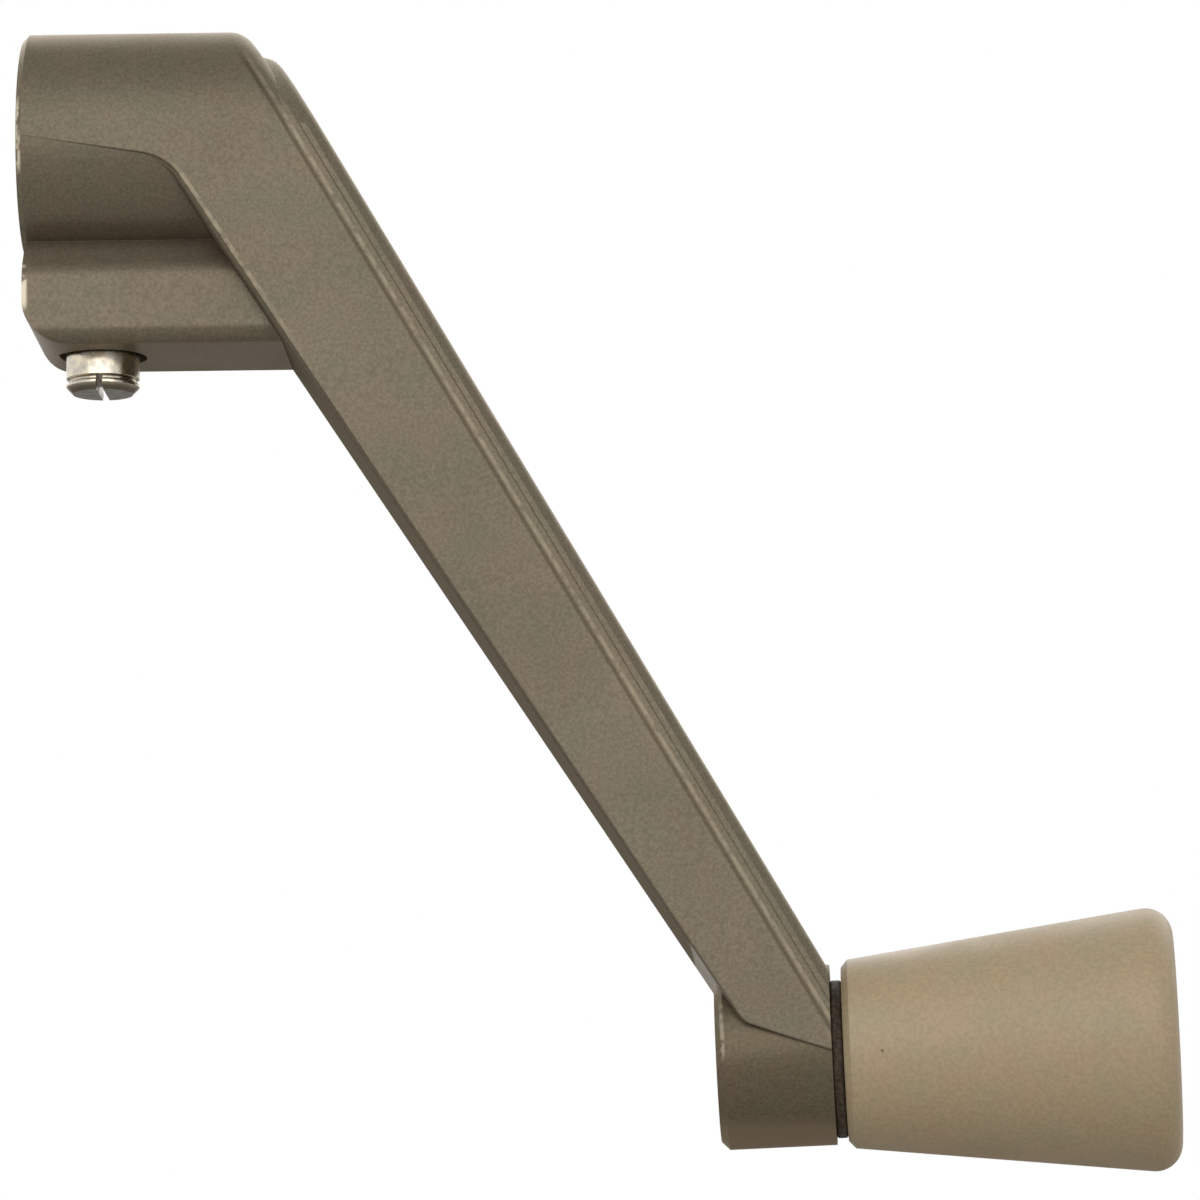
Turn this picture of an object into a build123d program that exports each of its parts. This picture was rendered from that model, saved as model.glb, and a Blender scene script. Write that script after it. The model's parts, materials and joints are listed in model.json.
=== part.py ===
"""Crank handle of a casement window operator: die-cast arm, set screw and spinning knob.

Millimetres. The hub's axis is X and its open mouth lies at X = 0, facing -X.
The arm hangs down (-Z) and out (+X), and is symmetric about the plane Y = 0.
"""
import os
from math import acos, atan2, cos, radians, sin

from build123d import *

# ---- hub: slides on the operator's splined stub shaft ----
hub_diameter = 17.5
hub_top_length = 16.5        # mouth to the corner where the outer face starts
hub_rim_chamfer = 0.45
spline_crest_diameter = 8.8  # across the tips of the hub's inner teeth
spline_tooth_height = 0.45
spline_teeth = 24
spline_tip_share = 0.35      # width of a tooth's tip, as a share of one pitch
spline_root_share = 0.15     # and of the flat between two teeth
bore_depth = 14.0
bore_lead_in = 0.4

# ---- lobe under the hub: carries the set screw ----
lobe_setback = 0.35          # the lobe's end stands behind the hub's mouth
lobe_drop = 15.9             # hub axis to the lobe's flat underside
lobe_depth = 13.0            # along Y
lobe_height = 5.5            # of its full-depth part
lobe_neck_depth = 8.0        # along Y, where its shoulders run into the hub
lobe_shoulder_rise = 2.6     # height of those sloping shoulders
lobe_shoulder_round = 2.0
lobe_edge_round = 1.2
lobe_corner_round = 3.2      # big corner below the mouth

# ---- arm: a tapered bar with a raised flat on each side and a sloping-sided spine ----
arm_root_width = 12.3        # along X, at the height of the hub axis
arm_tip_width = 7.6          # along X, at the height of the knob axis
arm_outer_reach = 62.3       # X of the outer face, carried on to the knob axis
arm_outer_round = 2.0
arm_inner_round = 0.4
flat_rise = 0.22             # how far the raised flats stand proud of the bar
flat_edge_round = 0.12
flat_rim_hub = 0.3           # the bar left bare below the flats: beside the hub,
flat_rim_boss = 0.05         # and at the boss
hub_seam_drop_mouth = 1.0    # lower edge of the bar on the hub, at the mouth
hub_seam_drop_root = 2.7     # and where it turns into the arm
hub_seam_bend = 4.0
boss_skirt = 0.3             # how far the flats stand proud of the boss
boss_seam_rise = 1.65        # their lower edge above the knob axis at the boss's back
boss_seam_bend = 1.5
boss_seam_sag = 0.15         # how far that edge bows below a straight line
boss_seam_fall = 1.3         # and below the axis at the boss's front
spine_start = 1.8            # from the hub's top corner, along the outer face
spine_height = 0.88          # its crest above the outer face, at the hub's end
spine_tip_height = 0.78      # and at the knob
spine_foot_drop = 0.5        # foot of its sloping sides below the outer face,
spine_inset = 0.12           # and in from the arm's flats
spine_slope = 45.0           # degrees
spine_end_round = 8.4
spine_crest_round = 1.4

# ---- boss and knob: they share one axis, which leans out from the hub's ----
knob_axis_drop = 68.95       # hub axis to knob axis, at the boss's front face
boss_front_setback = 2.2     # along X, on the knob axis, behind the arm's outer face
knob_lean = 2.2              # degrees, tip upwards
boss_diameter = 13.3
boss_length = 8.5
boss_back_chamfer = 0.6

washer_diameter = 11.7
washer_thickness = 0.75
washer_sag = 0.35            # it hangs on the pin by this much
knob_length = 24.5
knob_inner_diameter = 13.8   # at the washer, before its edge is chamfered
knob_outer_diameter = 19.9   # at the free end, before its edge is rounded
knob_inner_chamfer = 0.5
knob_outer_round = 2.0
pin_diameter = 4.8
pin_head_diameter = 8.0
pin_head_height = 1.6
pin_head_chamfer = 0.5
pin_head_recess = 0.7        # head's top below the knob's end
pin_tail_diameter = 4.0
stake_diameter = 6.0         # the tail is spread to this at the boss's back
stake_depth = 1.0

# ---- set screw ----
screw_diameter = 5.5
screw_length = 12.7
screw_station = 5.85         # from the mouth, along X
screw_stand_out = 2.8        # below the lobe, with the screw backed off
screw_end_chamfer = 0.5
screw_slot_width = 0.8
screw_slot_depth = 1.1
screw_slot_turn = 12.0       # degrees
screw_cup_diameter = 3.0
screw_cup_depth = 0.7
screw_seat_diameter = 6.6    # countersink around the screw's hole
screw_seat_depth = 1.2

# ---- clearances ----
screw_clearance = 0.05       # radial
knob_clearance = 0.08        # radial, knob on pin
end_play = 0.1               # knob against washer and against the pin's head
head_clearance = 0.3         # radial, pin's head in the knob's counterbore
washer_clearance = 0.4       # radial, washer on pin; more than its sag
pin_seat_clearance = 0.02    # radial, pin's tail in the boss

hub_radius = hub_diameter / 2
boss_front_reach = arm_outer_reach - boss_front_setback
boss_radius = boss_diameter / 2
tip_half_depth = boss_radius + boss_skirt
beyond = arm_outer_reach + knob_axis_drop  # trimming solids reach this far, clear of the part
overshoot = 1.0                            # cutters start this far outside the face they cut
nearby = 0.001                             # points closer than this are the same point

# The arm's outer face is a straight line in the X-Z plane, from the hub's top
# corner down to the knob axis; the inner face starts and ends a width behind it.
outer_slope = (arm_outer_reach - hub_top_length) / (hub_radius + knob_axis_drop)
outer_angle = atan2(outer_slope, 1)
inner_root_x = hub_top_length + hub_radius * outer_slope - arm_root_width
inner_tip_x = arm_outer_reach - arm_tip_width
inner_slope = (inner_tip_x - inner_root_x) / knob_axis_drop
inner_angle = atan2(inner_slope, 1)


def outer_x(z):
    """X of the arm's outer face at a height."""
    return hub_top_length + (hub_radius - z) * outer_slope


def inner_x(z):
    """X of the arm's inner face at a height."""
    return inner_root_x - z * inner_slope


# Seen along X, the arm's sides run from the boss up to a tangent on the hub's circle.
tip_distance = (tip_half_depth ** 2 + knob_axis_drop ** 2) ** 0.5
tangent_angle = atan2(-knob_axis_drop, tip_half_depth) + acos(hub_radius / tip_distance)
tangent_y = hub_radius * cos(tangent_angle)
tangent_z = hub_radius * sin(tangent_angle)
side_slope = (tangent_y - tip_half_depth) / (knob_axis_drop + tangent_z)


def half_depth(z):
    """Half the arm's depth along Y at a height, as its flat sides give it."""
    return tangent_y + (z - tangent_z) * side_slope


knob_axis_direction = Vector(cos(radians(knob_lean)), 0, sin(radians(knob_lean)))
boss_front = Plane(
    origin=(boss_front_reach, 0, -knob_axis_drop),
    x_dir=(0, 1, 0),
    z_dir=knob_axis_direction,
)


def along_y(outline):
    """Solid that runs both ways along Y, from a closed outline drawn as X, Z."""
    return extrude(make_face(Plane.XZ * outline), amount=beyond, both=True)


def along_x(outline, start, end):
    """Solid that runs along X between two stations, from a closed outline drawn as Y, Z."""
    return extrude(make_face(Plane.YZ.offset(start) * outline), amount=end - start)


def rod(plane, diameter, start, end):
    """Round bar on a plane's axis, between two distances along it."""
    return plane.offset(start) * extrude(Circle(diameter / 2), amount=end - start)


def turned(outline):
    """Body turned on the knob axis, from an outline drawn as radius, distance."""
    return boss_front * revolve(Plane.XZ * make_face(outline), Axis.Z)


def behind_boss_front(shape):
    """Cuts a shape off flush with the boss's front face."""
    return shape - extrude(boss_front * Rectangle(2 * beyond, 2 * beyond), amount=beyond)


def corner_at(sketch, point):
    """The corner of a sketch that lies nearest a point."""
    return sketch.vertices().sort_by_distance(point)[0]


def edges_where(shape, test):
    """Edges whose ends and middle all pass a test, without those in the boss's front face."""
    return [
        edge
        for edge in shape.edges()
        if all(test(edge @ place) for place in (0, 0.5, 1))
        and boss_front.to_local_coords(edge @ 0.5).Z < -nearby
    ]


def arm_outline(hub_rim, boss_rim, left, top):
    """The arm with its skirts over hub and boss, drawn as X, Z.

    Two rims draw it in along its inner edge and its seam on the hub.
    """
    seam_fall = (hub_seam_drop_root - hub_seam_drop_mouth) / inner_x(-hub_seam_drop_root)
    corner_z = hub_rim - hub_seam_drop_root
    corner_x = inner_x(corner_z) + hub_rim / cos(inner_angle)
    back_z = boss_seam_rise - knob_axis_drop
    back_x = inner_x(back_z) + boss_rim / cos(inner_angle)
    front_z = -knob_axis_drop - boss_seam_fall
    mouth = (left, corner_z + (corner_x - left) * seam_fall)
    corner = (corner_x, corner_z)
    back = (back_x, back_z)
    front = (outer_x(front_z), front_z)
    middle = ((back_x + outer_x(front_z)) / 2, (back_z + front_z) / 2 - boss_seam_sag)
    outline = Polyline(mouth, corner, back)
    outline += ThreePointArc(back, middle, front)
    outline += Polyline(front, (outer_x(top), top), (left, top), mouth)
    view = make_face(outline)
    view = fillet(corner_at(view, corner), hub_seam_bend + hub_rim)
    view = fillet(corner_at(view, back), boss_seam_bend)
    return view.face().outer_wire()


def on_outer_face(point):
    """Whether a point lies on the arm's flat outer face."""
    return abs(point.X - outer_x(point.Z)) < nearby


def in_mouth(point):
    """Whether a point lies in the plane of the hub's mouth."""
    return abs(point.X) < nearby


def below_arch(point, setback):
    """Whether a point lies on the arm's sides below the arch, or a setback inside them."""
    on_side = abs(abs(point.Y) + setback - half_depth(point.Z)) < nearby
    return on_side and point.Z < tangent_z - nearby


def on_flat(point):
    """Whether a point lies on one of the raised flats."""
    return below_arch(point, 0) and point.X < outer_x(point.Z) - arm_outer_round


def on_bar_side(point):
    """Whether a point lies on one of the bar's sides, clear of its outer face."""
    return below_arch(point, bar_setback) and point.X < outer_x(point.Z) - nearby


# ---- arm, upper layer: the hub's arch, and two flats that close in to the boss ----
foot_z = -beyond
arm_end_view = ThreePointArc((tangent_y, tangent_z), (0, hub_radius), (-tangent_y, tangent_z))
arm_end_view += Polyline(
    (-tangent_y, tangent_z),
    (-half_depth(foot_z), foot_z),
    (half_depth(foot_z), foot_z),
    (tangent_y, tangent_z),
)
arm = along_y(arm_outline(flat_rim_hub, flat_rim_boss, 0, hub_radius))
arm &= along_x(arm_end_view, -beyond, beyond)
arm = behind_boss_front(arm)
rim_over_seam = ShapeList(edges_where(arm, in_mouth)).sort_by(Axis.Z)[1:]
arm = chamfer(rim_over_seam, hub_rim_chamfer)
arm = fillet(edges_where(arm, on_outer_face), arm_outer_round)
arm = fillet(edges_where(arm, on_flat), flat_edge_round)

# ---- arm, lower layer: a bar that shows below the flats as a narrow rim ----
bar_setback = flat_rise / cos(atan2(side_slope, 1))
bar_end_view = Polyline(
    (half_depth(0) - bar_setback, 0),
    (bar_setback - half_depth(0), 0),
    (bar_setback - half_depth(foot_z), foot_z),
    (half_depth(foot_z) - bar_setback, foot_z),
    close=True,
)
bar = along_y(arm_outline(0, 0, hub_rim_chamfer, 0)) & along_x(bar_end_view, -beyond, beyond)
bar = behind_boss_front(bar)
bar = fillet(edges_where(bar, on_bar_side), arm_inner_round)

# ---- spine: a raised band along the outer face, drawn as distance down the arm, Y, height ----
outer_face = Plane(
    origin=(hub_top_length, 0, hub_radius),
    x_dir=(sin(outer_angle), 0, -cos(outer_angle)),
    z_dir=(cos(outer_angle), 0, sin(outer_angle)),
)
spine_end = (hub_radius + knob_axis_drop) / cos(outer_angle)
spine_start_z = hub_radius - spine_start * cos(outer_angle)
spine_start_half = half_depth(spine_start_z) - spine_inset
spine_tip_half = half_depth(-knob_axis_drop) - spine_inset
spine_foot = Pos(0, 0, -spine_foot_drop) * make_face(
    Polyline(
        (spine_start, -spine_start_half),
        (spine_end, -spine_tip_half),
        (spine_end, spine_tip_half),
        (spine_start, spine_start_half),
        close=True,
    )
)
spine_foot = fillet(spine_foot.vertices().group_by(Axis.X)[0], spine_end_round)
spine_depth = spine_foot_drop + spine_height
spine = extrude(spine_foot, amount=spine_depth + overshoot, taper=spine_slope)
spine += extrude(spine_foot, amount=spine_foot_drop - arm_outer_round)
spine &= along_y(
    Polyline(
        (spine_start, spine_height),
        (spine_start, -arm_outer_round),
        (spine_end, -arm_outer_round),
        (spine_end, spine_tip_height),
        close=True,
    )
)
crest = spine.faces().sort_by(Axis.Z)[-1]
crest_edges = [edge for edge in crest.edges() if (edge @ 0.5).X < spine_end - nearby]
spine = fillet(crest_edges, spine_crest_round)
spine = behind_boss_front(outer_face * spine)

# ---- hub: the arm's arch is its upper half, and a round barrel its lower half ----
barrel = rod(Plane.YZ, hub_diameter, 0, inner_x(-hub_radius))
mouth_edge = barrel.edges().filter_by(GeomType.CIRCLE).sort_by(Axis.X)[0]
barrel = chamfer(mouth_edge, hub_rim_chamfer)
barrel_top = (tangent_z + flat_rim_hub - hub_seam_drop_mouth) / 2
barrel = split(barrel, Plane.XY.offset(barrel_top), keep=Keep.BOTTOM)

# ---- lobe: bar under the hub, joined to it by a neck with sloping shoulders ----
crest_radius = spline_crest_diameter / 2
root_radius = crest_radius + spline_tooth_height
lobe_top = lobe_height - lobe_drop
shoulder_top = lobe_top + lobe_shoulder_rise
lobe_half = lobe_depth / 2
neck_half = lobe_neck_depth / 2
neck_top = -(hub_radius + root_radius) / 2
lobe_section = make_face(
    Polyline(
        (neck_half, neck_top),
        (neck_half, shoulder_top),
        (lobe_half, lobe_top),
        (lobe_half, -lobe_drop),
        (-lobe_half, -lobe_drop),
        (-lobe_half, lobe_top),
        (-neck_half, shoulder_top),
        (-neck_half, neck_top),
        close=True,
    )
)
for side in (-1, 1):
    shoulder = corner_at(lobe_section, (side * lobe_half, lobe_top))
    lobe_section = fillet(shoulder, lobe_shoulder_round)
    lobe_section = fillet(corner_at(lobe_section, (side * lobe_half, -lobe_drop)), lobe_edge_round)
lobe_end_x = inner_x(-lobe_drop) + arm_inner_round
lobe = extrude(Plane.YZ.offset(lobe_setback) * lobe_section, amount=lobe_end_x - lobe_setback)
lobe_view = make_face(
    Polyline(
        (lobe_setback, 0),
        (lobe_setback, -lobe_drop),
        (lobe_end_x, -lobe_drop),
        (lobe_end_x, 0),
        close=True,
    )
)
lobe_view = fillet(corner_at(lobe_view, (lobe_setback, -lobe_drop)), lobe_corner_round)
lobe &= along_y(lobe_view.face().outer_wire())

# ---- boss ----
boss = rod(boss_front, boss_diameter, -boss_length, 0)
back_edge = boss.edges().filter_by(GeomType.CIRCLE).sort_by(Axis.X)[0]
boss = chamfer(back_edge, boss_back_chamfer)

casting = arm + bar + spine + barrel + lobe + boss

# ---- splined bore with a lead-in cone, screw hole and pin hole ----
def at_angle(radius, degrees):
    """Point of a circle about the origin, at an angle in degrees."""
    return (radius * cos(radians(degrees)), radius * sin(radians(degrees)))


pitch = 360 / spline_teeth
groove_angle = (1 - spline_tip_share) * pitch / 2
root_angle = spline_root_share * pitch / 2
groove = make_face(
    Polyline(
        (0, 0),
        at_angle(crest_radius, groove_angle),
        at_angle(root_radius, root_angle),
        at_angle(root_radius, -root_angle),
        at_angle(crest_radius, -groove_angle),
        close=True,
    )
)
bore_section = Circle(crest_radius) + PolarLocations(0, spline_teeth) * groove
bore = extrude(Plane.YZ.offset(-overshoot) * bore_section, amount=overshoot + bore_depth)
lead_in = Plane.YZ * Cone(
    crest_radius + bore_lead_in,
    crest_radius,
    bore_lead_in,
    align=(Align.CENTER, Align.CENTER, Align.MIN),
)
screw_axis = Plane(origin=(screw_station, 0, 0), x_dir=(1, 0, 0), z_dir=(0, 0, -1))
hole_end = lobe_drop + overshoot
screw_hole = rod(screw_axis, screw_diameter + 2 * screw_clearance, 0, hole_end)
screw_seat = rod(screw_axis, screw_seat_diameter, lobe_drop - screw_seat_depth, hole_end)
pin_hole = rod(boss_front, pin_tail_diameter + 2 * pin_seat_clearance, -boss_length, overshoot)
stake_seat = turned(
    Polyline(
        (0, -boss_length - overshoot),
        (stake_diameter / 2 + pin_seat_clearance, -boss_length - overshoot),
        (stake_diameter / 2 + pin_seat_clearance, -boss_length),
        (pin_tail_diameter / 2 + pin_seat_clearance, stake_depth - boss_length),
        (0, stake_depth - boss_length),
        close=True,
    )
)
casting = casting - bore - lead_in - screw_hole - screw_seat - pin_hole - stake_seat

# ---- set screw, backed off so that a shaft can enter ----
screw_end = lobe_drop + screw_stand_out
screw_tip = screw_end - screw_length
set_screw = rod(screw_axis, screw_diameter, screw_tip, screw_end)
set_screw = chamfer(set_screw.edges().filter_by(GeomType.CIRCLE), screw_end_chamfer)
slot = Box(screw_slot_width, 2 * screw_diameter, 2 * screw_slot_depth)
set_screw -= screw_axis.offset(screw_end) * Rot(0, 0, screw_slot_turn) * slot
set_screw -= screw_axis.offset(screw_tip) * Cone(
    screw_cup_diameter / 2, 0, screw_cup_depth, align=(Align.CENTER, Align.CENTER, Align.MIN)
)

# ---- washer, knob and pin, one after another out from the boss ----
knob_start = washer_thickness + end_play
knob_end = knob_start + knob_length
head_top = knob_end - pin_head_recess
head_seat = head_top - pin_head_height
washer_face = Plane(
    origin=boss_front.from_local_coords((0, -washer_sag, 0)),
    x_dir=boss_front.x_dir,
    z_dir=boss_front.z_dir,
)
washer_hole = rod(washer_face, pin_diameter + 2 * washer_clearance, -overshoot, knob_start)
knob_washer = rod(washer_face, washer_diameter, 0, washer_thickness) - washer_hole
bearing_radius = pin_diameter / 2 + knob_clearance
counterbore_radius = pin_head_diameter / 2 + head_clearance
knob_profile = make_face(
    Polyline(
        (bearing_radius, knob_start),
        (knob_inner_diameter / 2, knob_start),
        (knob_outer_diameter / 2, knob_end),
        (counterbore_radius, knob_end),
        (counterbore_radius, head_seat - end_play),
        (bearing_radius, head_seat - end_play),
        close=True,
    )
)
inner_corner = corner_at(knob_profile, (knob_inner_diameter / 2, knob_start))
knob_profile = chamfer(inner_corner, knob_inner_chamfer)
outer_corner = corner_at(knob_profile, (knob_outer_diameter / 2, knob_end))
knob_profile = fillet(outer_corner, knob_outer_round)
knob = turned(knob_profile.face().outer_wire())
knob_pin = turned(
    Polyline(
        (0, -boss_length),
        (stake_diameter / 2, -boss_length),
        (pin_tail_diameter / 2, stake_depth - boss_length),
        (pin_tail_diameter / 2, 0),
        (pin_diameter / 2, 0),
        (pin_diameter / 2, head_seat),
        (pin_head_diameter / 2, head_seat),
        (pin_head_diameter / 2, head_top),
        (0, head_top),
        close=True,
    )
)
head_rim = knob_pin.edges().filter_by(GeomType.CIRCLE).sort_by(Axis.X)[-1]
knob_pin = chamfer(head_rim, pin_head_chamfer)

os.makedirs("parts", exist_ok=True)
for name, solid in (
    ("crank_arm", casting),
    ("set_screw", set_screw),
    ("knob_washer", knob_washer),
    ("knob", knob),
    ("knob_pin", knob_pin),
):
    export_step(solid, f"parts/{name}.step")
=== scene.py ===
import functools
import json
import math

import bpy
from mathutils import Matrix, Vector


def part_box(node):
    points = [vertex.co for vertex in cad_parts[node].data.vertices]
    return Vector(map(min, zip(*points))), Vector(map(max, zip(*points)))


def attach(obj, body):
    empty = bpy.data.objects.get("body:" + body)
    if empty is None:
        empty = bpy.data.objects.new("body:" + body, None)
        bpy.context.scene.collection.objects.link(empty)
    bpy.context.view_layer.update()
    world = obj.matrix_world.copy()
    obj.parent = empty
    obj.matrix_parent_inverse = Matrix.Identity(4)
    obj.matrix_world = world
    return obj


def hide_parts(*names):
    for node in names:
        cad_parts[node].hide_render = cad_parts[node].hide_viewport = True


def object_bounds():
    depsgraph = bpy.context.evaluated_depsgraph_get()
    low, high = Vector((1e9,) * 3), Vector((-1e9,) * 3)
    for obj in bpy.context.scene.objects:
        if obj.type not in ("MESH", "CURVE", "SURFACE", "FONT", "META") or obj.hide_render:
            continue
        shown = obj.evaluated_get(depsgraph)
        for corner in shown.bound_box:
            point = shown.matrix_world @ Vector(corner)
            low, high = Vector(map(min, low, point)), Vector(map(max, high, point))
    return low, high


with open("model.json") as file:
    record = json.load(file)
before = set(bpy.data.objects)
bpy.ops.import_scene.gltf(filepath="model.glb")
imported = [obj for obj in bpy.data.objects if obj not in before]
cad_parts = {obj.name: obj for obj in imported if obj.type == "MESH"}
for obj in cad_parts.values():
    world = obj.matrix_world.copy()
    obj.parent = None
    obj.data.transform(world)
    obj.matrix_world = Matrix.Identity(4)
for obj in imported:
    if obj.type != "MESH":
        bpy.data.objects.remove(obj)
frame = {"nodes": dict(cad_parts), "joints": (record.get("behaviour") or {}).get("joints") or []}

# ---- setting: camera, floor and light ----
# The handle hangs down from its hub and is shown from its side, a little from below, with a
# pale floor clear below it. A broad soft light stands above it in front and another behind, in
# a surround that is white at eye level, dim overhead and darker underneath.
cad_low, cad_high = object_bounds()
cad_centre = (cad_low + cad_high) / 2
camera_aim = cad_centre + Vector((0.00016, 0, -0.00024))
camera_distance = 0.7
camera_lens = 282.3                 # millimetres
camera_sensor = 36                  # millimetres
camera_rise = math.radians(9.93)    # how far it looks up
camera_yaw = math.radians(2.48)     # how far it is turned towards the hub
camera_roll = math.radians(0.227)
forward = Vector((
    -math.sin(camera_yaw) * math.cos(camera_rise),
    math.cos(camera_yaw) * math.cos(camera_rise),
    math.sin(camera_rise),
))
level_right = Vector((math.cos(camera_yaw), math.sin(camera_yaw), 0))
level_up = level_right.cross(forward)
right = math.cos(camera_roll) * level_right - math.sin(camera_roll) * level_up
up = math.sin(camera_roll) * level_right + math.cos(camera_roll) * level_up
camera = bpy.data.objects.new("camera", bpy.data.cameras.new("camera"))
camera.data.lens = camera_lens
camera.data.sensor_width = camera_sensor
camera.data.clip_start = 0.01
turn = Matrix((right, up, -forward)).transposed()
camera.matrix_world = Matrix.Translation(camera_aim - camera_distance * forward) @ turn.to_4x4()
bpy.context.scene.collection.objects.link(camera)
bpy.context.scene.camera = camera
bpy.context.scene.view_settings.view_transform = "Standard"


def node_maker(tree):
    """A function that adds a node to a tree, from its kind, its sockets and its settings."""
    def add(kind, inputs=(), **settings):
        made = tree.nodes.new(kind)
        for key, value in settings.items():
            setattr(made, key, value)
        for key, value in dict(inputs).items():
            if isinstance(value, bpy.types.NodeSocket):
                tree.links.new(value, made.inputs[key])
            else:
                made.inputs[key].default_value = value
        return made.outputs[0] if len(made.outputs) == 1 else made
    return add


floor_drop = 0.30                   # from the handle's lowest point
floor_half = 2.0
floor_z = cad_low.z - floor_drop
floor_corners = [
    (way_x * floor_half, way_y * floor_half, floor_z)
    for way_x, way_y in ((-1, -1), (1, -1), (1, 1), (-1, 1))
]
floor_mesh = bpy.data.meshes.new("floor")
floor_mesh.from_pydata(floor_corners, [], [(0, 1, 2, 3)])
floor_paper = bpy.data.materials.new("pale_floor")
floor_paper.use_nodes = True
paper_shader = floor_paper.node_tree.nodes["Principled BSDF"]
paper_shader.inputs["Base Color"].default_value = (0.43, 0.41, 0.38, 1)
paper_shader.inputs["Roughness"].default_value = 0.9
floor_mesh.materials.append(floor_paper)
floor = bpy.data.objects.new("floor", floor_mesh)
bpy.context.scene.collection.objects.link(floor)

# Each light's name, place from the handle's middle, width and height, and watts.
soft_lights = (
    ("front_light", Vector((-0.05, -0.72, 0.27)), (1.2, 0.7), 2.55),
    ("back_light", Vector((0.0, 0.55, 0.50)), (1.2, 0.6), 3.4),
)
for name, place, size, watts in soft_lights:
    lamp = bpy.data.lights.new(name, "AREA")
    lamp.shape = "RECTANGLE"
    lamp.size, lamp.size_y = size
    lamp.energy = watts
    holder = bpy.data.objects.new(name, lamp)
    holder.location = cad_centre + place
    holder.rotation_euler = (-place).to_track_quat("-Z", "Y").to_euler()
    holder.visible_camera = False
    bpy.context.scene.collection.objects.link(holder)

# The surround's brightness at heights from straight down, 0, to straight up, 1.
surround_stops = ((0.0, 0.2), (0.44, 0.5), (0.5, 1.0), (0.62, 1.0), (0.75, 0.7), (0.9, 0.35), (1.0, 0.3))
surround_strength = 0.95
surround = bpy.data.worlds.new("surround")
bpy.context.scene.world = surround
surround.use_nodes = True
surround_tree = surround.node_tree
surround_tree.nodes.clear()
add = node_maker(surround_tree)
direction = add("ShaderNodeTexCoord").outputs["Generated"]
height = add("ShaderNodeSeparateXYZ", {0: direction}).outputs["Z"]
height_share = add("ShaderNodeMapRange", {"Value": height, "From Min": -1}).outputs["Result"]
glow = add("ShaderNodeValToRGB", {"Fac": height_share})
while len(glow.color_ramp.elements) < len(surround_stops):
    glow.color_ramp.elements.new(1)
for stop, (stop_height, grey) in zip(glow.color_ramp.elements, surround_stops):
    stop.position = stop_height
    stop.color = (grey, grey, grey, 1)
lit = add("ShaderNodeBackground", {"Color": glow.outputs["Color"], "Strength": surround_strength})
seen = add("ShaderNodeBackground", {"Color": (1, 1, 1, 1), "Strength": 1})
to_camera = add("ShaderNodeLightPath").outputs["Is Camera Ray"]
either = add("ShaderNodeMixShader", {0: to_camera, 1: lit, 2: seen})
add("ShaderNodeOutputWorld", {"Surface": either})

# ---- crank arm ----
# Hub, arm, lobe and boss are one zinc die casting, with the splines cast in the hub's bore. Its
# satin metallic bronze paint has painted shade in the creases and painted highlights along the
# arm's edges, and has worn through on the hub's mouth, the lobe's end and the boss's back edge.
def new_finish(name):
    """A material, its tree's node maker, its shader and the place on the object, in metres."""
    material = bpy.data.materials.new(name)
    material.use_nodes = True
    add = node_maker(material.node_tree)
    shader = material.node_tree.nodes["Principled BSDF"]
    place = add("ShaderNodeTexCoord").outputs["Object"]
    return material, add, shader, place


def wire(shader, socket, value):
    """Links a node's output to a socket of the shader."""
    shader.id_data.links.new(value, shader.inputs[socket])


def calc(add, operation, *values):
    """The result of a Math node, of sockets and numbers."""
    return add("ShaderNodeMath", dict(enumerate(values)), operation=operation)


def product(add, *values):
    """The product of sockets and numbers."""
    return functools.reduce(lambda first, second: calc(add, "MULTIPLY", first, second), values)


def largest(add, *values):
    """The largest of sockets and numbers."""
    return functools.reduce(lambda first, second: calc(add, "MAXIMUM", first, second), values)


def grain(add, place, size, detail=2.0):
    """Noise from 0 to 1 with features of about this size, in metres."""
    noise = add("ShaderNodeTexNoise", {"Vector": place, "Scale": 1 / size, "Detail": detail})
    return noise.outputs["Fac"]


def between(add, value, start, end, low=0.0, high=1.0):
    """The value mapped smoothly from one span to another."""
    inputs = {"Value": value, "From Min": start, "From Max": end, "To Min": low, "To Max": high}
    mapped = add("ShaderNodeMapRange", inputs, interpolation_type="SMOOTHSTEP")
    return mapped.outputs["Result"]


def within(add, value, start, end, soft):
    """1 where the value lies in a span, falling softly to 0 outside it."""
    return product(add, between(add, value, start - soft, start), between(add, value, end + soft, end))


def way_along(add, place, start, direction):
    """How far the place lies from a start, along a direction."""
    away = add("ShaderNodeVectorMath", {0: place, 1: start}, operation="SUBTRACT")
    sockets = {0: away.outputs["Vector"], 1: direction}
    return add("ShaderNodeVectorMath", sockets, operation="DOT_PRODUCT").outputs["Value"]


def about_pin(add, place):
    """How far the place lies in front of the boss, along the knob's pin, and out from its axis."""
    along = way_along(add, place, knob_origin, knob_axis)
    away = add("ShaderNodeVectorMath", {0: place, 1: knob_origin}, operation="DISTANCE")
    reach = away.outputs["Value"]
    square = calc(add, "SUBTRACT", product(add, reach, reach), product(add, along, along))
    return along, calc(add, "SQRT", largest(add, square, 0))


def blend_of(add, share, first, second, blend_type="MIX"):
    """Two colours mixed by a share, each a socket or three numbers."""
    first, second = (
        colour if isinstance(colour, bpy.types.NodeSocket) else (*colour, 1)
        for colour in (first, second)
    )
    sockets = {0: share, 6: first, 7: second}
    return add("ShaderNodeMix", sockets, data_type="RGBA", blend_type=blend_type).outputs[2]


def shaded_by(add, colour, shade):
    """The colour, darker where the shade is under 1 and lighter where it is over 1."""
    grey = add("ShaderNodeCombineColor", {0: shade, 1: shade, 2: shade})
    return blend_of(add, 1.0, colour, grey, "MULTIPLY")


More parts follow.
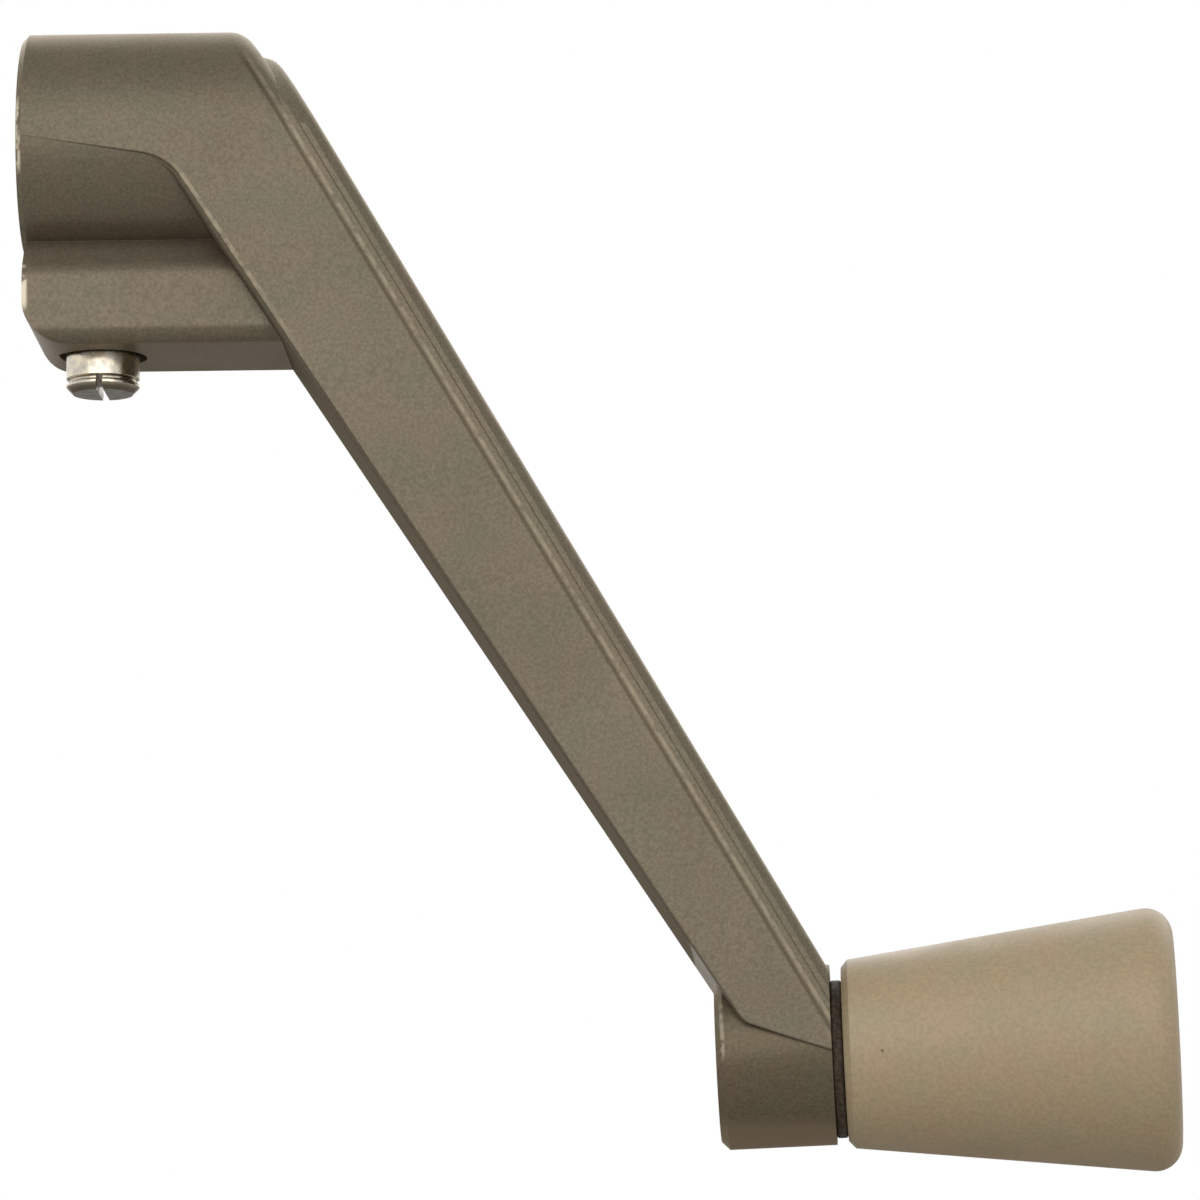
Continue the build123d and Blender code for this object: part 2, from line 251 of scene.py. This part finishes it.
def painted_crease_shade(add, colour, reach, depth):
    """The colour, darkened as painted shade by up to a share where other faces stand closer than a reach.
    """
    openness = add("ShaderNodeAmbientOcclusion", {"Distance": reach}, samples=8, only_local=True)
    return shaded_by(add, colour, between(add, openness.outputs["AO"], 0.35, 0.85, 1 - depth, 1.0))


def rippled(add, shader, height, distance, strength=1.0):
    """Gives the shader a bump of this height pattern."""
    bump = add("ShaderNodeBump", {"Height": height, "Distance": distance, "Strength": strength})
    wire(shader, "Normal", bump)


hub_mouth_x = cad_low.x
hub_radius = cad_high.z
lobe_half_width = 0.0065
knob_joint = next(joint for joint in frame["joints"] if joint["name"] == "knob_spin")
knob_origin = Vector(knob_joint["pos_m"])         # on the pin's axis, in the boss's front face
knob_axis = Vector(knob_joint["axis"]).normalized()
boss_length = 0.0085
boss_radius = 0.00665
outer_face_top = Vector((0.0165, 0, hub_radius))  # where the arm's outer face leaves the hub
outer_face_lean = math.radians(30.52)             # from upright
inner_face_top = Vector((0.00936, 0, 0))          # on the inner face, level with the hub's axis
inner_face_lean = math.radians(33.33)
out_of_outer = Vector((math.cos(outer_face_lean), 0, math.sin(outer_face_lean)))
into_inner = Vector((math.cos(inner_face_lean), 0, math.sin(inner_face_lean)))

bronze, add, shader, place = new_finish("bronze_paint")
x, y, z = add("ShaderNodeSeparateXYZ", {0: place}).outputs
along_pin, from_pin = about_pin(add, place)
outer_depth = way_along(add, place, outer_face_top, -out_of_outer)
inner_depth = way_along(add, place, inner_face_top, into_inner)

# The colour drifts between a warmer and a greener bronze, and the paint's flakes fleck it.
# Below, each band is given from its start to its end, in metres, and then how softly it ends.
warm_bronze = (0.199, 0.162, 0.114)
green_bronze = (0.184, 0.162, 0.113)
flake = grain(add, place, 0.00022, 3)
drift = between(add, grain(add, place, 0.004, 3), 0.35, 0.65)
paint = blend_of(add, drift, warm_bronze, green_bronze)
paint = shaded_by(add, paint, between(add, flake, 0.3, 0.7, low=0.86, high=1.14))

# The boss is painted darker than the arm as shade, and lighter along its underside as painted light from
# below.
boss_painted_shade = (0.86, 0.82, 0.77)
boss_underside_light = (0.30, 0.225, 0.150)
boss_underside_light_share = 0.7
on_round = between(add, from_pin, boss_radius + 0.00015, boss_radius + 0.00005)
on_boss = product(add, on_round, between(add, along_pin, 0.0005, 0.0))
paint = blend_of(add, on_boss, paint, boss_painted_shade, "MULTIPLY")
under_boss = between(add, z, knob_origin.z - 0.0048, knob_origin.z - 0.0062)
paint = blend_of(add, product(add, on_boss, under_boss, boss_underside_light_share), paint, boss_underside_light)

# Painted shade: a dark line inside the arm's outer edge, and darkening round the neck above the lobe.
crease_line_shade = (0.075, 0.052, 0.032)
crease_line_shade_share = 0.55
neck_shade_share = 0.5                    # on the neck, of what the line has
down_arm = within(add, z, knob_origin.z, 0.004, 0.003)
in_line = product(add, within(add, outer_depth, 0.00134, 0.00150, 0.00012), down_arm)
on_neck = product(add, within(add, z, -0.0082, -0.0070, 0.0006), between(add, x, 0.014, 0.012))
line_and_neck_shade = largest(add, in_line, product(add, on_neck, neck_shade_share))
paint = blend_of(add, product(add, line_and_neck_shade, crease_line_shade_share), paint, crease_line_shade)

# The arm's inner face is duller than its sides, and painted darker as shade.
inner_face_shade = (0.115, 0.085, 0.052)
inner_face_shade_share = 0.3
dull_roughness = 0.95
near_face = within(add, inner_depth, -0.00010, 0.00003, 0.00005)
on_inner = product(add, near_face, within(add, z, knob_origin.z + 0.0078, -0.0045, 0.0008))
paint = blend_of(add, product(add, on_inner, inner_face_shade_share), paint, inner_face_shade)

# Painted highlights, in patches, on the bead of the outer edge and on the inner edge by the hub.
edge_highlight = (0.42, 0.35, 0.25)
bead_highlight_share = 0.5
by_hub_highlight_share = 0.6
on_bead = product(add, within(add, outer_depth, 0.00095, 0.00112, 0.0001), down_arm)
below_hub = product(add, between(add, z, -0.020, -0.010), between(add, z, -0.0024, -0.0040))
by_hub = product(add, within(add, inner_depth, 0.00034, 0.0006, 0.00012), below_hub)
highlighted = largest(add, product(add, on_bead, bead_highlight_share), product(add, by_hub, by_hub_highlight_share))
highlighted = product(add, highlighted, between(add, grain(add, place, 0.0008, 3), 0.25, 0.6))
paint = blend_of(add, highlighted, paint, edge_highlight)
# Painted shade darkens the creases, where other faces stand close.
paint = painted_crease_shade(add, paint, reach=0.0010, depth=0.15)

# The bare metal shows in patches, on a narrow band along three edges.
bare_zinc = (0.72, 0.63, 0.47)
wear_reach = 0.00055                # how far the band runs in from an edge
wear_full = 0.0003                  # how far in it is worn fully
boss_wear_share = 0.4
from_mouth = calc(add, "SUBTRACT", x, hub_mouth_x)
from_hub_axis = calc(add, "SQRT", calc(add, "ADD", product(add, y, y), product(add, z, z)))
on_rim = product(
    add,
    between(add, from_mouth, 0.00045, wear_full),
    between(add, from_hub_axis, hub_radius - wear_reach, hub_radius - wear_full),
    within(add, z, -0.0026, 0.0016, 0.001),
)
from_middle = calc(add, "ABSOLUTE", y)
on_lobe = product(
    add,
    between(add, from_mouth, 0.00085, 0.0006),
    between(add, from_middle, lobe_half_width - wear_reach, lobe_half_width - wear_full),
    within(add, z, -0.0128, -0.0096, 0.001),
)
from_back = calc(add, "ADD", along_pin, boss_length)
on_back = product(
    add,
    between(add, from_back, 0.0007, 0.0006),
    between(add, from_back, 0.0003, 0.00045),
    within(add, z, knob_origin.z - 0.0005, knob_origin.z + 0.0025, 0.001),
    boss_wear_share,
)
patches = between(add, grain(add, place, 0.0012, 4), 0.40, 0.52)
worn = product(add, largest(add, on_rim, on_lobe, on_back), patches)
wire(shader, "Base Color", blend_of(add, worn, paint, bare_zinc))
shader.inputs["Metallic"].default_value = 0.4
shader.inputs["Specular IOR Level"].default_value = 0.15
shader.inputs["Specular Tint"].default_value = (1.0, 0.88, 0.74, 1)
satin = between(add, grain(add, place, 0.012, 2), 0.3, 0.7, low=0.37, high=0.45)
wire(shader, "Roughness", largest(add, satin, product(add, on_inner, dull_roughness)))
orange_peel = calc(add, "ADD", grain(add, place, 0.0009, 2), flake)
rippled(add, shader, orange_peel, distance=0.00001, strength=0.6)
frame["nodes"]["crank_arm"].data.materials[0] = bronze

# ---- set screw ----
# A slotted steel set screw with a rolled thread and a cup point, plated and gone warm with age.
# It goes up through the lobe and grips the shaft in the bore. Its slotted end is plain, with one
# turned groove, and painted dark as shade.
screw_low, screw_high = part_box("set_screw")
steel, add, shader, place = new_finish("plated_steel")
warm_plate = (0.80, 0.70, 0.54)
grey_plate = (0.62, 0.58, 0.50)
end_shade = (0.15, 0.125, 0.09)
scuff = grain(add, place, 0.0006, 4)
plate = blend_of(add, between(add, scuff, 0.35, 0.65), warm_plate, grey_plate)
height = add("ShaderNodeSeparateXYZ", {0: place}).outputs["Z"]
# The slotted end is painted dark as shade.
on_shaded_end = between(add, height, screw_low.z + 0.0006, screw_low.z + 0.0002, high=0.9)
plate = blend_of(add, on_shaded_end, plate, end_shade)
# Painted shade darkens the thread's roots and the slot.
wire(shader, "Base Color", painted_crease_shade(add, plate, reach=0.0005, depth=0.75))
shader.inputs["Metallic"].default_value = 1.0
wire(shader, "Roughness", between(add, scuff, 0.3, 0.7, low=0.16, high=0.34))
rippled(add, shader, scuff, distance=0.00001, strength=0.5)

screw_sides = 96
screw_rows = 180
cup_sides = 48
run_out = 0.0008                    # over which the thread fades in from the plain end
thread_flat = 0.1                   # share of the pitch that is flat on a crest, and in a root
groove_flat = 0.3                   # share of the groove that is flat at its bottom
cup_overshoot = 1.02                # lets the cup's cutter stand out of the point
smooth_below = math.radians(32)     # edges that turn less are shaded smooth
screw_tree = bpy.data.node_groups.new("screw_thread", "GeometryNodeTree")
thread_sizes = {
    "Radius": (screw_high.x - screw_low.x) / 2,
    "Length": screw_high.z - screw_low.z,
    "Pitch": 0.0008,
    "Thread Depth": 0.00045,
    "Plain Length": 0.0028,
    "Groove Height": 0.0009,
    "Groove Half Width": 0.00022,
    "Groove Depth": 0.00025,
    "Chamfer": 0.0005,
    "Slot Width": 0.0005,
    "Slot Depth": 0.0011,
    "Slot Turn": math.radians(-1),
    "Cup Radius": 0.0015,
    "Cup Depth": 0.0007,
}
for name in thread_sizes:
    screw_tree.interface.new_socket(name, in_out="INPUT", socket_type="NodeSocketFloat")
screw_tree.interface.new_socket("Place", in_out="INPUT", socket_type="NodeSocketVector")
screw_tree.interface.new_socket("Material", in_out="INPUT", socket_type="NodeSocketMaterial")
screw_tree.interface.new_socket("Screw", in_out="OUTPUT", socket_type="NodeSocketGeometry")
add = node_maker(screw_tree)
size = add("NodeGroupInput").outputs

# A finely divided cylinder is drawn in to the depth of the thread, the groove and the chamfers.
blank_sockets = {
    "Vertices": screw_sides,
    "Side Segments": screw_rows,
    "Radius": size["Radius"],
    "Depth": size["Length"],
}
blank = add("GeometryNodeMeshCylinder", blank_sockets, fill_type="TRIANGLE_FAN").outputs["Mesh"]
x, y, z = add("ShaderNodeSeparateXYZ", {0: add("GeometryNodeInputPosition")}).outputs
half_length = product(add, size["Length"], 0.5)
turns = calc(add, "DIVIDE", calc(add, "ARCTAN2", y, x), 2 * math.pi)
phase = calc(add, "FRACT", calc(add, "SUBTRACT", calc(add, "DIVIDE", z, size["Pitch"]), turns))
from_crest = calc(add, "ABSOLUTE", calc(add, "SUBTRACT", product(add, phase, 2), 1))
from_slot = calc(add, "ADD", z, half_length)
past_plain = calc(add, "SUBTRACT", from_slot, size["Plain Length"])
thread_share = between(add, past_plain, 0.0, run_out)
valley = between(add, from_crest, thread_flat, 1 - thread_flat)
thread_cut = product(add, valley, thread_share, size["Thread Depth"])
from_groove = calc(add, "ABSOLUTE", calc(add, "SUBTRACT", from_slot, size["Groove Height"]))
groove_share = between(add, calc(add, "DIVIDE", from_groove, size["Groove Half Width"]), 1.0, groove_flat)
groove_cut = product(add, groove_share, size["Groove Depth"])
cut_radius = calc(add, "SUBTRACT", size["Radius"], calc(add, "ADD", thread_cut, groove_cut))
from_end = calc(add, "SUBTRACT", half_length, calc(add, "ABSOLUTE", z))
end_radius = calc(add, "ADD", calc(add, "SUBTRACT", size["Radius"], size["Chamfer"]), from_end)
share = calc(add, "DIVIDE", calc(add, "MINIMUM", cut_radius, end_radius), size["Radius"])
drawn_in = add("ShaderNodeCombineXYZ", {0: product(add, x, share), 1: product(add, y, share), 2: z})
threaded = add("GeometryNodeSetPosition", {"Geometry": blank, "Position": drawn_in})

# The slot is cut with a block that crosses the screw and is centred on its end, so it is twice as
# deep as the slot. The cup is cut with a cone.
block_size = add("ShaderNodeCombineXYZ", {
    0: size["Slot Width"],
    1: product(add, size["Radius"], 3),
    2: product(add, size["Slot Depth"], 2),
})
slot_block = add("GeometryNodeMeshCube", {"Size": block_size}).outputs["Mesh"]
slot_cutter = add("GeometryNodeTransform", {
    "Geometry": slot_block,
    "Translation": add("ShaderNodeCombineXYZ", {2: product(add, half_length, -1)}),
    "Rotation": add("ShaderNodeCombineXYZ", {2: size["Slot Turn"]}),
})
cup_cone = add("GeometryNodeMeshCone", {
    "Vertices": cup_sides,
    "Radius Top": size["Cup Radius"],
    "Radius Bottom": 0.0,
    "Depth": size["Cup Depth"],
}).outputs["Mesh"]
cup_cutter = add("GeometryNodeTransform", {
    "Geometry": cup_cone,
    "Translation": add("ShaderNodeCombineXYZ", {2: calc(add, "SUBTRACT", half_length, size["Cup Depth"])}),
    "Scale": (1, 1, cup_overshoot),
})
body = threaded
for cutter in (slot_cutter, cup_cutter):
    sockets = {"Mesh 1": body, "Mesh 2": cutter}
    cut = add("GeometryNodeMeshBoolean", sockets, operation="DIFFERENCE", solver="EXACT")
    body = cut.outputs["Mesh"]
body = add("GeometryNodeSetShadeSmooth", {"Geometry": body, "Shade Smooth": True}, domain="FACE")
edge_turn = add("GeometryNodeInputMeshEdgeAngle").outputs["Unsigned Angle"]
gentle = add("FunctionNodeCompare", {0: edge_turn, 1: smooth_below}, operation="LESS_THAN")
body = add("GeometryNodeSetShadeSmooth", {"Geometry": body, "Shade Smooth": gentle}, domain="EDGE")
placed = add("GeometryNodeTransform", {"Geometry": body, "Translation": size["Place"]})
real = add("GeometryNodeRealizeInstances", {"Geometry": placed})
finished = add("GeometryNodeSetMaterial", {"Geometry": real, "Material": size["Material"]})
add("NodeGroupOutput", {"Screw": finished})

screw = bpy.data.objects.new("threaded_screw", bpy.data.meshes.new("threaded_screw"))
bpy.context.scene.collection.objects.link(screw)
maker = screw.modifiers.new("thread", "NODES")
maker.node_group = screw_tree
screw_values = {**thread_sizes, "Place": (screw_low + screw_high) / 2, "Material": steel}
for socket in screw_tree.interface.items_tree:
    if socket.in_out == "INPUT":
        maker[socket.identifier] = screw_values[socket.name]
bpy.context.view_layer.update()
depsgraph = bpy.context.evaluated_depsgraph_get()
screw_mesh = bpy.data.meshes.new_from_object(screw.evaluated_get(depsgraph))
screw.modifiers.clear()
screw.data = screw_mesh
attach(screw, "set_screw")
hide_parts("set_screw")

# ---- knob washer ----
# A thin washer punched from dark hard fibre. It hangs loosely on the pin, between boss and knob,
# and keeps the knob from wearing the paint. Its rim is a little ragged, and it has warped.
dark_fibre = (0.046, 0.033, 0.021)
pale_fibre = (0.115, 0.088, 0.058)
fibre, add, shader, place = new_finish("dark_washer")
fuzz = grain(add, place, 0.0003, 4)
wire(shader, "Base Color", blend_of(add, between(add, fuzz, 0.3, 0.7), dark_fibre, pale_fibre))
shader.inputs["Roughness"].default_value = 0.6
shader.inputs["Specular IOR Level"].default_value = 0.25
rippled(add, shader, fuzz, distance=0.00005)

washer_low, washer_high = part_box("knob_washer")
washer_shift = 0.00004              # towards the knob, to hang midway
washer_inset = 0.00002              # how far its rim stays short of its full diameter
washer_middle = (washer_low + washer_high) / 2 + washer_shift * knob_axis
washer_radius = (washer_high.y - washer_low.y) / 2 - washer_inset
washer_hole_radius = 0.0028
washer_thickness = 0.00080
washer_corner = 0.00012             # how far its rim is drawn in where it meets the faces
washer_rim_share = 0.7              # of its thickness, between those drawn-in corners
washer_warp = 0.00002               # how far it has warped, either way
rim_wave = 0.00001                  # height of each of the two waves that make its rim ragged
washer_steps = 144
side = Vector((0, 1, 0))
upward = knob_axis.cross(side)
# Its section goes from the bore to the rim and back. Each corner has its radius, its place
# along the pin as a share of half the thickness, and 1 where it is on the ragged rim.
washer_section = (
    (washer_hole_radius, -1, 0),
    (washer_radius - washer_corner, -1, 0),
    (washer_radius, -washer_rim_share, 1),
    (washer_radius, washer_rim_share, 1),
    (washer_radius - washer_corner, 1, 0),
    (washer_hole_radius, 1, 0),
)
washer_points = []
for step in range(washer_steps):
    angle = 2 * math.pi * step / washer_steps
    warp = washer_warp * math.sin(3 * angle + 0.8)
    rag = rim_wave * (math.sin(17 * angle) + math.sin(29 * angle + 2) - 2)
    outwards = math.cos(angle) * side + math.sin(angle) * upward
    for corner_radius, level, at_rim in washer_section:
        across = (corner_radius + at_rim * rag) * outwards
        along = (level * washer_thickness / 2 + warp) * knob_axis
        washer_points.append(washer_middle + across + along)
corners = len(washer_section)
washer_faces = [
    (
        step * corners + corner,
        (step + 1) % washer_steps * corners + corner,
        (step + 1) % washer_steps * corners + (corner + 1) % corners,
        step * corners + (corner + 1) % corners,
    )
    for step in range(washer_steps)
    for corner in range(corners)
]
washer_mesh = bpy.data.meshes.new("fibre_washer")
washer_mesh.from_pydata(washer_points, [], washer_faces)
washer_mesh.materials.append(fibre)
washer = bpy.data.objects.new("fibre_washer", washer_mesh)
bpy.context.scene.collection.objects.link(washer)
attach(washer, "handle")
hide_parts("knob_washer")

# ---- knob ----
# A tapered knob moulded in solid tan plastic, with a counterbore in its free end. It spins on
# the pin. The plastic is faintly clouded, with a few dark specks and fine marks of handling.
warm_tan = (0.445, 0.332, 0.200)
green_tan = (0.418, 0.334, 0.204)
speck_brown = (0.11, 0.08, 0.05)
speck_spacing = 0.0022
speck_share = 0.75
plastic, add, shader, place = new_finish("tan_plastic")
cloud = between(add, grain(add, place, 0.003, 3), 0.35, 0.65)
dust = between(add, grain(add, place, 0.0003, 2), 0.3, 0.7, low=0.93, high=1.07)
tan = shaded_by(add, blend_of(add, cloud, warm_tan, green_tan), dust)
cells = add("ShaderNodeTexVoronoi", {"Vector": place, "Scale": 1 / speck_spacing})
cell_draw = add("ShaderNodeSeparateColor", {0: cells.outputs["Color"]}).outputs[0]
chosen = between(add, cell_draw, 0.93, 0.95)    # about one cell in sixteen holds a speck
speck = product(add, between(add, cells.outputs["Distance"], 0.08, 0.04), chosen, speck_share)
tan = blend_of(add, speck, tan, speck_brown)
# Painted shade darkens the plastic where other faces stand close.
wire(shader, "Base Color", painted_crease_shade(add, tan, reach=0.0008, depth=0.35))
wire(shader, "Roughness", between(add, grain(add, place, 0.006, 3), 0.3, 0.7, low=0.42, high=0.56))
handling = calc(add, "ADD", grain(add, place, 0.0012, 3), dust)
rippled(add, shader, handling, distance=0.00001, strength=0.5)
frame["nodes"]["knob"].data.materials[0] = plastic

# ---- knob pin ----
# A plated steel rivet pin on which the knob spins. Its turned head sits in the knob's
# counterbore, and its tail is peened over in the boss's back.
warm_steel = (0.62, 0.57, 0.48)
grey_steel = (0.50, 0.48, 0.44)
turning_pitch = 0.0003              # between the tool marks on the pin's ends
pin_steel, add, shader, place = new_finish("pin_steel")
along_pin, from_pin = about_pin(add, place)
tool_marks = calc(add, "SINE", product(add, from_pin, 2 * math.pi / turning_pitch))
blotch = grain(add, place, 0.0012, 4)
pin_tint = blend_of(add, between(add, blotch, 0.35, 0.65), warm_steel, grey_steel)
# Painted shade darkens the steel where other faces stand close.
wire(shader, "Base Color", painted_crease_shade(add, pin_tint, reach=0.0008, depth=0.6))
shader.inputs["Metallic"].default_value = 1.0
wire(shader, "Roughness", between(add, blotch, 0.3, 0.7, low=0.26, high=0.42))
rippled(add, shader, calc(add, "ADD", tool_marks, blotch), distance=0.000006, strength=0.6)
frame["nodes"]["knob_pin"].data.materials[0] = pin_steel
